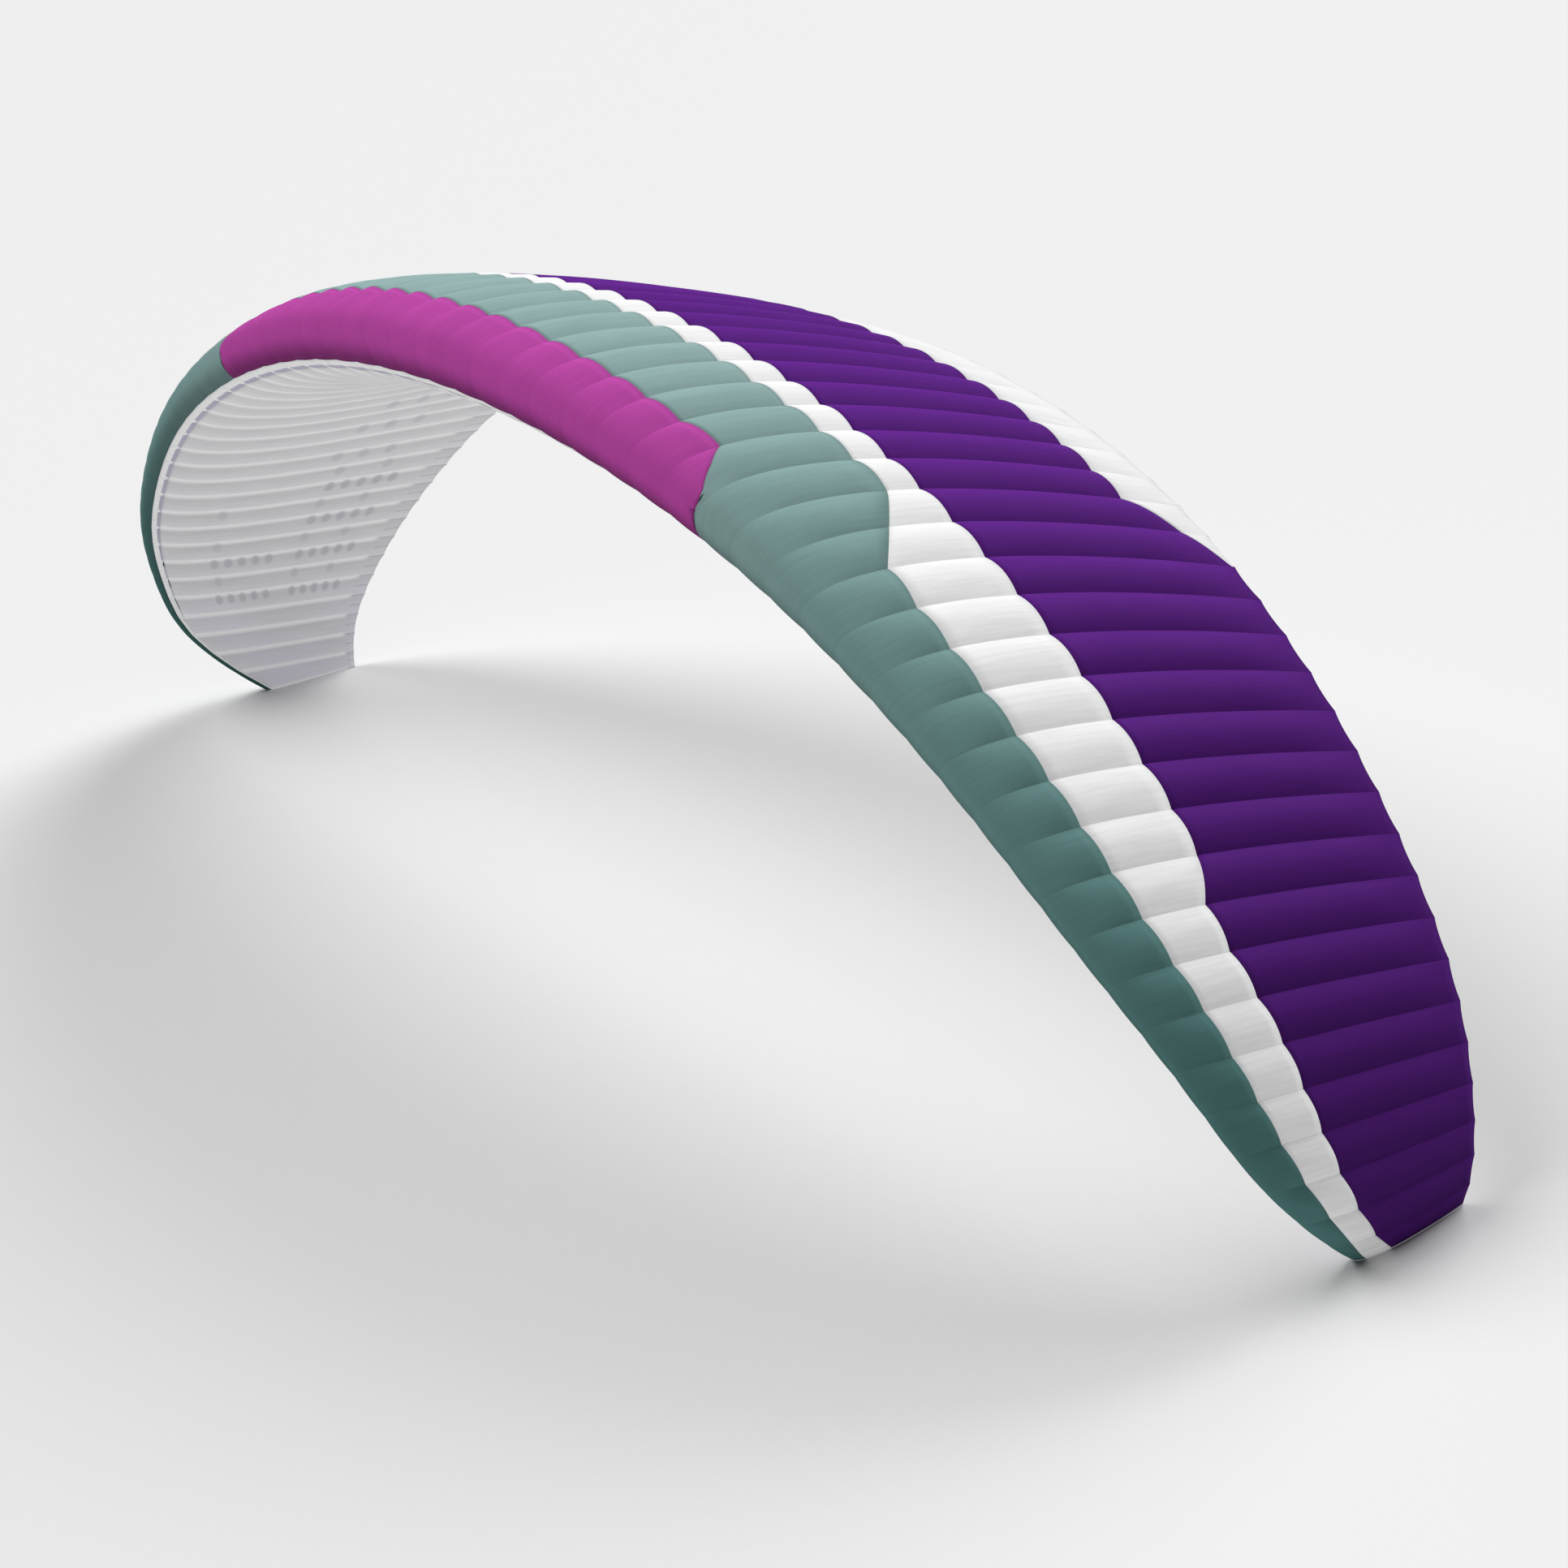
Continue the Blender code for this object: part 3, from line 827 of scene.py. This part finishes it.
def cloth(name, colour, tip, roughness, thread, seed, nose_shade=0.0):
    """colour is the cloth at the crown and tip at both wing tips, where a darker tip is
    painted shade. thread is the colour of the raised weave, and nose_shade is how much
    painted shade darkens the cloth on the underside of the nose."""
    material, tree, shader = new_material(name, GLOSS)
    material.diffuse_color = (*colour, 1.0)
    weave = place_group(tree, WEAVE, Place="cloth_metres")
    seams = place_group(tree, SEAMS, Place="cloth_metres", Seams="seam_metres")
    tone = place_group(tree, TONE, Place="cloth_metres")
    tone.inputs["Seed"].default_value = seed
    base = mix_colour(tree, tone.outputs["Cell"], shade(colour, 1.0 - CELL_TONE),
                      shade(colour, 1.0 + CELL_TONE))
    # Painted shade: the colour darkens from the crown towards both wing tips.
    base = mix_colour(tree, tone.outputs["Tips"], base, tip)
    base = mix_colour(tree, times(tree, tone.outputs["Clouds"], CLOUDS[0]),
                      base, shade(tip, CLOUDS[1]))
    # Painted shade along the fine creases, lighter and darker by turns.
    base = scaled(tree, base, tone.outputs["Streaks"], *CREASE_SHADE)
    base = mix_colour(tree, times(tree, weave.outputs["Threads"], THREADS), base, thread)
    # Painted shade in the folds at the seams.
    base = mix_colour(tree, times(tree, seams.outputs["Fold"], FOLD_SHADE[0]),
                      base, shade(colour, FOLD_SHADE[1]))
    # Painted shade on the underside of the nose.
    base = scaled(tree, base, seams.outputs["Lip"], -nose_shade, 1.0)
    wire(tree, base, shader.inputs["Base Color"])
    uneven = maths(tree, "MULTIPLY_ADD", tone.outputs["Clouds"], UNEVEN_GLOSS,
                   roughness - UNEVEN_GLOSS / 2.0)
    wire(tree, uneven, shader.inputs["Roughness"])
    height = maths(tree, "MULTIPLY_ADD", tone.outputs["Streaks"], CREASE_RISE,
                   seams.outputs["Height"])
    grain = relief(tree, weave.outputs["Height"], *GRAIN)
    wire(tree, relief(tree, height, *PULL).outputs[0], grain.inputs["Normal"])
    wire(tree, grain.outputs[0], shader.inputs["Normal"])
    return material


# %% What is laid over the cloth
def colour_so_far(material):
    """The tree, its shader and what feeds the base colour now."""
    tree = material.node_tree
    shader = tree.nodes["Principled BSDF"]
    return tree, shader, shader.inputs["Base Color"].links[0].from_socket


def add_painted_glow(material, strength, tint=None):
    """Painted glow: the cloth gives off a little light of its own, standing in for the light
    that thin pale cloth lets through.
    """
    tree, shader, colour = colour_so_far(material)
    if tint:
        shader.inputs["Emission Color"].default_value = (*tint, 1.0)
    else:
        wire(tree, colour, shader.inputs["Emission Color"])
    shader.inputs["Emission Strength"].default_value = strength
    material.cycles.emission_sampling = "NONE"


def paint_cell_light(material, slope, start):
    """Painted light and shade: each cell is lighter or darker from its inner rib to its
    outer one, as light falls on its bulge.
    """
    tree, shader, colour = colour_so_far(material)
    marks = place_group(tree, MARKS, Ribs="rib_place")
    wire(tree, scaled(tree, colour, marks.outputs["Inner"], slope, start),
         shader.inputs["Base Color"])


def add_marks(material, pale, dark, tint):
    """Mix what shows through the cloth into the base colour."""
    tree, shader, colour = colour_so_far(material)
    marks = place_group(tree, MARKS, Ribs="rib_place")
    where = node(tree, "ShaderNodeUVMap", uv_map="cloth_metres")
    patches = noise(tree, where.outputs[0], 2.2)
    uneven = maths(tree, "MULTIPLY_ADD", patches, 1.2, -0.2, clamp=True)
    tips = times(tree, marks.outputs["Tips"], uneven)
    colour = mix_colour(tree, tips, colour, tint)
    for label, strength, mark in (("Pale", 0.9, pale), ("Dark", 0.85, dark)):
        share = times(tree, marks.outputs[label], strength)
        colour = mix_colour(tree, share, colour, mark)
    wire(tree, colour, shader.inputs["Base Color"])


# %% Colours
# The second colour of each cloth is its colour at both wing tips; a darker one is painted
# shade.
MAGENTA = cloth("magenta_ripstop", (0.485, 0.067, 0.366), (0.38, 0.053, 0.29), 0.60,
                (0.62, 0.16, 0.50), 3.0, nose_shade=0.62)
TEAL = cloth("teal_ripstop", (0.285, 0.415, 0.405), (0.082, 0.205, 0.196), 0.60,
             (0.36, 0.50, 0.48), 11.0, nose_shade=0.45)
WHITE = cloth("white_ripstop", (0.69, 0.69, 0.694), (0.69, 0.69, 0.694), 0.62,
              (0.76, 0.76, 0.76), 23.0)
# The rear white is the white cloth made a little darker: painted shade.
REAR_WHITE = cloth("rear_white_ripstop", (0.655, 0.655, 0.66), (0.655, 0.655, 0.66), 0.62,
                   (0.72, 0.72, 0.72), 29.0)
PURPLE = cloth("purple_ripstop", (0.112, 0.0165, 0.240), (0.070, 0.0125, 0.155), 0.58,
               (0.16, 0.05, 0.30), 31.0)
UNDER = cloth("underside_ripstop", (0.50, 0.50, 0.505), (0.43, 0.43, 0.44), 0.62,
              (0.52, 0.52, 0.53), 47.0)
# Painted light and shade across each cell of the purple top and of the underside.
paint_cell_light(PURPLE, 0.36, 0.82)
paint_cell_light(UNDER, -0.20, 1.04)
add_marks(UNDER, (0.55, 0.55, 0.555), (0.31, 0.30, 0.33), (0.44, 0.42, 0.50))
# Painted glow on the white cloth and the underside.
add_painted_glow(WHITE, 0.27)
add_painted_glow(REAR_WHITE, 0.26)
add_painted_glow(UNDER, 0.53)
print("materials:", [m.name for m in (MAGENTA, TEAL, WHITE, REAR_WHITE, PURPLE, UNDER)])

# %% [markdown]
# ## The coloured panels of the top
# From the nose to the trailing edge the cloth changes from magenta to teal, white,
# purple and white again. Each colour is one long piece whose edges are the colour seams
# of the table. The magenta one ends on a slant at both ends, so its columns stop there.


# %% Panel edges
def front_edges(k):
    return NOSE_PANEL_EDGE, seam_at(FRONT_BAND_END, k)


def teal_edges(k):
    first = np.where(np.abs(k) >= FRONT_BAND_TO, NOSE_PANEL_EDGE, seam_at(FRONT_BAND_END, k))
    return first, seam_at(TEAL_END, k)


def white_edges(k):
    return seam_at(TEAL_END, k), seam_at(WHITE_END, k)


DRAWN_IN = 0.0035  # as an s, midway between two ribs


def tail_edge(k):
    """The trailing edge is drawn in a little between two ribs."""
    share = k - np.floor(k + 0.5) + 0.5
    return 1.0 - DRAWN_IN * 4.0 * share * (1.0 - share)


def top_edges(k):
    rear = np.where(np.abs(k) < REAR_BAND_TO, seam_at(REAR_BAND_START, k), tail_edge(k))
    return seam_at(WHITE_END, k), rear


def rear_edges(k):
    return seam_at(REAR_BAND_START, k), tail_edge(k)


front = panel("front_magenta_cloth", FRONT_BAND_TO, front_edges, 14, MAGENTA)
teal = panel("band_teal_cloth", LAST_RIB, teal_edges, 16, TEAL)
white = panel("band_white_cloth", LAST_RIB, white_edges, 7, WHITE)
top = panel("top_purple_cloth", LAST_RIB, top_edges, 24, PURPLE)
rear = panel("rear_white_cloth", REAR_BAND_TO, rear_edges, 5, REAR_WHITE)

# %% [markdown]
# ## Underside and nose strip
# The underside is one skin from the air intakes to the trailing edge. A white strip
# closes the nose above the intakes, and a tab at each rib ties it to the underside, so
# the openings between them read as a dashed line.


# %% Underside and strip
def under_edges(k):
    return -tail_edge(k), np.where(np.abs(k) > MOUTHS_TO, STRIP_EDGE, MOUTH_EDGE)


TAB_WIDTH = 0.12  # half the width of a tab, in cells
NARROW_FROM = (20.5, 23.5, 25.5)  # ribs between which the intakes get lower
NARROW_BY = (0.0, 0.55, 0.65)


def strip_edges(k):
    to_rib = 0.5 - np.abs(k - cell_of(k))
    tab = smooth_step(1.0 - to_rib / TAB_WIDTH)
    narrow = np.interp(np.abs(k), NARROW_FROM, NARROW_BY)
    covered = np.maximum(tab, narrow) * (np.abs(k) < MOUTHS_TO)
    low = STRIP_EDGE + (MOUTH_EDGE - STRIP_EDGE) * covered
    return low, NOSE_PANEL_EDGE


under = panel("under_grey_cloth", LAST_RIB, under_edges, 32, UNDER)
strip = panel("nose_strip_cloth", LAST_RIB, strip_edges, 3, WHITE)


# %% Closing ribs at the tips
def tip_rib(name, side):
    k = np.array([side * LAST_RIB])
    top, low = ((cloth_point(k, s) + outward(k, s) * CLOTH)[0]
                for s in (np.linspace(0.0, 1.0, 40)[None], np.linspace(0.0, -1.0, 30)[None]))
    ring = np.concatenate([top[:, :2], low[:0:-1, :2]])
    count = len(ring)
    points = np.concatenate([np.c_[ring, np.full(count, z)] for z in (0.0, RIB_PLATE)])
    around = [(i, (i + 1) % count) for i in range(count)]
    faces = [list(range(count))[::-1], [i + count for i in range(count)]]
    faces += [[i, j, j + count, i + count] for i, j in around]
    if side < 0:
        faces = [face[::-1] for face in faces]
    item = new_object(name, points, faces, UNDER, smooth=False)
    plain_maps(item.data, points[:, :2])
    size = 0.5 * abs(float(np.dot(ring[:, 0], np.roll(ring[:, 1], 1))
                           - np.dot(ring[:, 1], np.roll(ring[:, 0], 1))))
    cut = tuple(float(v) + 0.001 for v in np.ptp(ring, axis=0))
    print(f"{name}: {cut[0]:.3f} x {cut[1]:.3f} m, {size:.4f} m2")
    return item, (cut, size)


left_rib = tip_rib("tip_rib_left_cloth", -1.0)
right_rib = tip_rib("tip_rib_right_cloth", 1.0)

# %% [markdown]
# ## The ribs inside
# A white rib stands under every seam and gives the cell its profile. Only its front
# shows, through the air intakes, and a painted glow makes it bright there, standing in for
# the light that comes through the thin cloth all round it. Each rib is one flat sheet
# between the top and the underside.


# %% Inner ribs
UNDER_SKIN = 0.004  # from the middle of the skin to the edge of a rib
HALF_RIB = np.array((0.0005, 0.0, 0.0))
LAID_OUT = (2.4, 24.0)  # all ribs side by side, in metres


def inner_ribs(name, material, steps=26):
    t = np.linspace(0.012, 0.97, steps) ** 1.5
    k = np.arange(-LAST_RIB + 1.0, LAST_RIB)
    s = np.sqrt(t)[None, :] + np.zeros((len(k), 1))
    top, low = (cloth_point(k, row) - outward(k, row) * UNDER_SKIN for row in (s, -s))
    points, faces, cuts = [], [], []
    for number in range(len(k)):
        grid = np.stack([top[number], (top[number] + low[number]) / 2.0, low[number]])
        cuts.append(sheet_area(grid))
        start = len(points)
        for shift in (HALF_RIB, -HALF_RIB):
            points.extend((grid.reshape(-1, 3) + shift).tolist())
        faces.extend((closed_faces(3, steps) + start)[:, ::-1].tolist())
    item = new_object(name, points, faces, material, smooth=False)
    plain_maps(item.data, np.array(points)[:, 1:])
    print(f"{name}: {len(k)} ribs, {sum(cuts):.2f} m2 of cloth")
    return item, (LAID_OUT, sum(cuts))


RIB_CLOTH = cloth("white_rib_cloth", (0.62, 0.60, 0.68), (0.62, 0.60, 0.68), 0.6,
                  (0.7, 0.7, 0.75), 5.0)
# Painted glow on the inner ribs.
add_painted_glow(RIB_CLOTH, 0.20, (0.86, 0.85, 0.98))
ribs = inner_ribs("inner_rib_cloth", RIB_CLOTH)

# %% [markdown]
# ## Stitches
# Every colour seam is a flat felled seam with two rows of thread, and the trailing edge
# is hemmed with one. A Geometry Nodes tree lays the stitches: it cuts a line on the
# cloth into equal steps and stands one short thread on each step. The lines lie on the
# panels' own outer faces, so no stitch floats or sinks.


# %% Stitch tree
STITCH = {"Pitch": 0.008, "Stitch Length": 0.0052, "Thread Width": 0.0007, "Seed": 7}


def stitch_tree():
    tree = bpy.data.node_groups.new("stitches_on_a_line", "GeometryNodeTree")
    side = tree.interface
    side.new_socket("Geometry", in_out="INPUT", socket_type="NodeSocketGeometry")
    for label, value in STITCH.items():
        kind = "NodeSocketInt" if label == "Seed" else FLOAT
        side.new_socket(label, in_out="INPUT", socket_type=kind).default_value = value
    side.new_socket("Thread", in_out="INPUT", socket_type="NodeSocketMaterial")
    side.new_socket("Geometry", in_out="OUTPUT", socket_type="NodeSocketGeometry")
    ins, outs = node(tree, "NodeGroupInput"), node(tree, "NodeGroupOutput")
    line = node(tree, "GeometryNodeMeshToCurve", {"Mesh": ins.outputs["Geometry"]})
    steps = node(tree, "GeometryNodeResampleCurve",
                 {"Curve": line.outputs["Curve"], "Length": ins.outputs["Pitch"]},
                 mode="LENGTH")
    thread = node(tree, "GeometryNodeMeshCylinder",
                  {"Vertices": 4, "Radius": times(tree, ins.outputs["Thread Width"], 0.5),
                   "Depth": ins.outputs["Stitch Length"]})
    stitches = node(tree, "GeometryNodeInstanceOnPoints",
                    {"Points": steps.outputs["Curve"], "Instance": thread.outputs["Mesh"],
                     "Rotation": lie_on_cloth(tree),
                     "Scale": uneven_lengths(tree, ins.outputs["Seed"])})
    real = node(tree, "GeometryNodeRealizeInstances",
                {"Geometry": stitches.outputs["Instances"]})
    finish = node(tree, "GeometryNodeSetMaterial",
                  {"Geometry": real.outputs["Geometry"], "Material": ins.outputs["Thread"]})
    wire(tree, finish.outputs["Geometry"], outs.inputs["Geometry"])
    return tree


def lie_on_cloth(tree):
    """Turn the thread along the line, with one edge away from the cloth."""
    turn = "FunctionNodeAlignRotationToVector"
    tangent = node(tree, "GeometryNodeInputTangent").outputs[0]
    along = node(tree, turn, {"Vector": tangent}, axis="Z").outputs[0]
    normal = node(tree, "GeometryNodeInputNamedAttribute", {"Name": "cloth_normal"},
                  data_type="FLOAT_VECTOR").outputs["Attribute"]
    return node(tree, turn, {"Rotation": along, "Vector": normal},
                axis="X", pivot_axis="Z").outputs[0]


def uneven_lengths(tree, seed):
    return node(tree, "FunctionNodeRandomValue",
                {"Min": (0.9, 0.9, 0.88), "Max": (1.1, 1.1, 1.08), "Seed": seed},
                data_type="FLOAT_VECTOR").outputs["Value"]


STITCH_TREE = stitch_tree()
print("tree:", STITCH_TREE.name, [s.name for s in STITCH_TREE.interface.items_tree])


# %% Stitch rows
TWIST_SCALE = 400.0
TWIST = (0.3, 0.0001)  # strength and depth
LIFT = 0.0002  # of the line over the cloth


def thread_material(name, colour):
    material, tree, shader = new_material(name, 0.5)
    shader.inputs["Roughness"].default_value = 0.5
    where = node(tree, "ShaderNodeTexCoord")
    strands = noise(tree, where.outputs["Object"], TWIST_SCALE)
    mixed = mix_colour(tree, strands, shade(colour, 0.8), shade(colour, 1.2))
    wire(tree, mixed, shader.inputs["Base Color"])
    wire(tree, relief(tree, strands, *TWIST).outputs[0], shader.inputs["Normal"])
    return material


def line_on_panel(name, edge, offset):
    """A line on the outer face of a panel, at a distance from its first or last edge."""
    outer, normal = GRIDS[name]
    at, inside = (0, 1) if edge == "first" else (-1, -2)
    ahead = outer[:, inside] - outer[:, at]
    step = np.linalg.norm(ahead, axis=-1, keepdims=True)
    along = np.minimum(offset / np.maximum(step, 1e-6), 1.0)
    return outer[:, at] + ahead * along + normal[:, at] * LIFT, normal[:, at]


def stitch_rows(name, panel_name, colour, **rows):
    """Rows of stitches at distances from the first or the last edge of a panel."""
    points, normals, edges = [], [], []
    for edge, offset in [(e, offset) for e, offsets in rows.items() for offset in offsets]:
        line, lift = line_on_panel(panel_name, edge, offset)
        start = len(points)
        edges += [(start + i, start + i + 1) for i in range(len(line) - 1)]
        points += line.tolist()
        normals += lift.tolist()
    mesh = bpy.data.meshes.new(name)
    mesh.from_pydata(points, edges, [])
    away = mesh.attributes.new("cloth_normal", "FLOAT_VECTOR", "POINT")
    away.data.foreach_set("vector", np.array(normals).ravel())
    guide = place_in_scene(name + "_guide", mesh)
    return sewn_piece(guide, name, thread_material(name + "_thread", colour))


def sewn_piece(guide, name, material):
    """Run the stitch tree on the guide and keep its result as a plain mesh."""
    modifier = guide.modifiers.new("stitches", "NODES")
    modifier.node_group = STITCH_TREE
    values = {**STITCH, "Thread": material}
    for socket in STITCH_TREE.interface.items_tree:
        if socket.in_out == "INPUT" and socket.name in values:
            modifier[socket.identifier] = values[socket.name]
    ready = guide.evaluated_get(bpy.context.evaluated_depsgraph_get())
    mesh = bpy.data.meshes.new_from_object(ready)
    guide.modifiers.remove(modifier)
    bpy.data.objects.remove(guide)
    mesh.name = name
    print(f"{name}: {len(mesh.polygons) // 6} stitches, {len(mesh.polygons)} faces")
    return place_in_scene(name, mesh)


FELLED = (0.004, 0.011)
HEMMED = (0.006,)
magenta_thread = stitch_rows("magenta_stitches", "front_magenta_cloth", (0.33, 0.05, 0.24),
                             last=FELLED, first=(0.005,))
teal_thread = stitch_rows("teal_stitches", "band_teal_cloth", (0.20, 0.33, 0.32), last=FELLED)
white_thread = stitch_rows("white_stitches", "band_white_cloth", (0.80, 0.80, 0.80),
                           last=FELLED)
purple_thread = stitch_rows("purple_stitches", "top_purple_cloth", (0.10, 0.02, 0.22),
                            last=HEMMED)
rear_thread = stitch_rows("rear_stitches", "rear_white_cloth", (0.80, 0.80, 0.80),
                          first=FELLED, last=HEMMED)
under_thread = stitch_rows("underside_stitches", "under_grey_cloth", (0.72, 0.72, 0.74),
                           first=HEMMED, last=HEMMED)

# %% [markdown]
# ## Riding, replacing and the flat cuts
# Every piece rides on the one body and stands for the solids of its own colour. A sheet
# also states the size that it was cut to, which is its length along the span by its
# greatest width, and its flat area.


# %% Ride and replace
def nodes_named(stem):
    return [name for name in NODES if name.startswith(stem)]


def settle(made, stem, thread=None):
    item, (flat, area) = made
    for piece in (item, thread) if thread else (item,):
        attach(piece, "root")
    if stem:
        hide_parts(*nodes_named(stem))
    share = area / (flat[0] * flat[1])
    print(f"{item.name}: stands for {stem or 'no solid'}, fills {share:.2f} of its rectangle")


settle(front, "front_magenta", magenta_thread)
settle(teal, "band_teal", teal_thread)
settle(white, "band_white", white_thread)
settle(top, "top_purple", purple_thread)
settle(rear, "rear_white", rear_thread)
settle(under, "under_grey", under_thread)
settle(strip, "nose_strip")
settle(left_rib, "tip_rib_left")
settle(right_rib, "tip_rib_right")
settle(ribs, "")

# %% [markdown]
# ## Floor and light
# The wing stands on a wide, pale, matt floor. Three wide, soft suns light it: one from
# the front, for the nose, and two from behind, whose soft shadows overlap in front. A
# weak world fills the rest, and a low view sees it as pale grey behind the floor.


# %% Floor
FLOOR_REACH = 300.0


def add_floor():
    corners = [(x * FLOOR_REACH, y * FLOOR_REACH, 0.0)
               for x, y in ((-1, -1), (1, -1), (1, 1), (-1, 1))]
    material, tree, shader = new_material("pale_floor", 0.1)
    shader.inputs["Roughness"].default_value = 0.9
    where = node(tree, "ShaderNodeTexCoord")
    grit = noise(tree, where.outputs["Object"], 40.0, 3.0)
    colour = mix_colour(tree, grit, (0.73, 0.73, 0.732), (0.75, 0.75, 0.75))
    wire(tree, colour, shader.inputs["Base Color"])
    new_object("studio_floor", corners, [(0, 1, 2, 3)], material, smooth=False)


add_floor()


# %% Lights
def add_sun(name, source, strength, spread):
    data = bpy.data.lights.new(name, "SUN")
    data.energy = strength
    data.angle = math.radians(spread)
    sun = place_in_scene(name, data)
    sun.rotation_euler = (-Vector(source)).to_track_quat("-Z", "Y").to_euler()


def add_world(strength, seen):
    """A weak even light all round, seen behind the floor as a paler grey."""
    bpy.context.scene.view_settings.view_transform = "Standard"
    world = bpy.data.worlds.new("studio_world")
    world.use_nodes = True
    tree = world.node_tree
    sky = tree.nodes["Background"]
    sky.inputs["Color"].default_value = (1.0, 1.0, 1.0, 1.0)
    seen_first = node(tree, "ShaderNodeLightPath").outputs["Is Camera Ray"]
    level = maths(tree, "MULTIPLY_ADD", seen_first, seen - strength, strength)
    wire(tree, level, sky.inputs["Strength"])
    bpy.context.scene.world = world


add_world(0.09, 0.88)
add_sun("front_sun", (-0.40, -0.40, 0.82), 2.0, 40.0)
add_sun("back_sun", (0.0, 0.60, 0.80), 1.0, 40.0)
add_sun("low_back_sun", (-0.30, 0.75, 0.58), 1.7, 40.0)
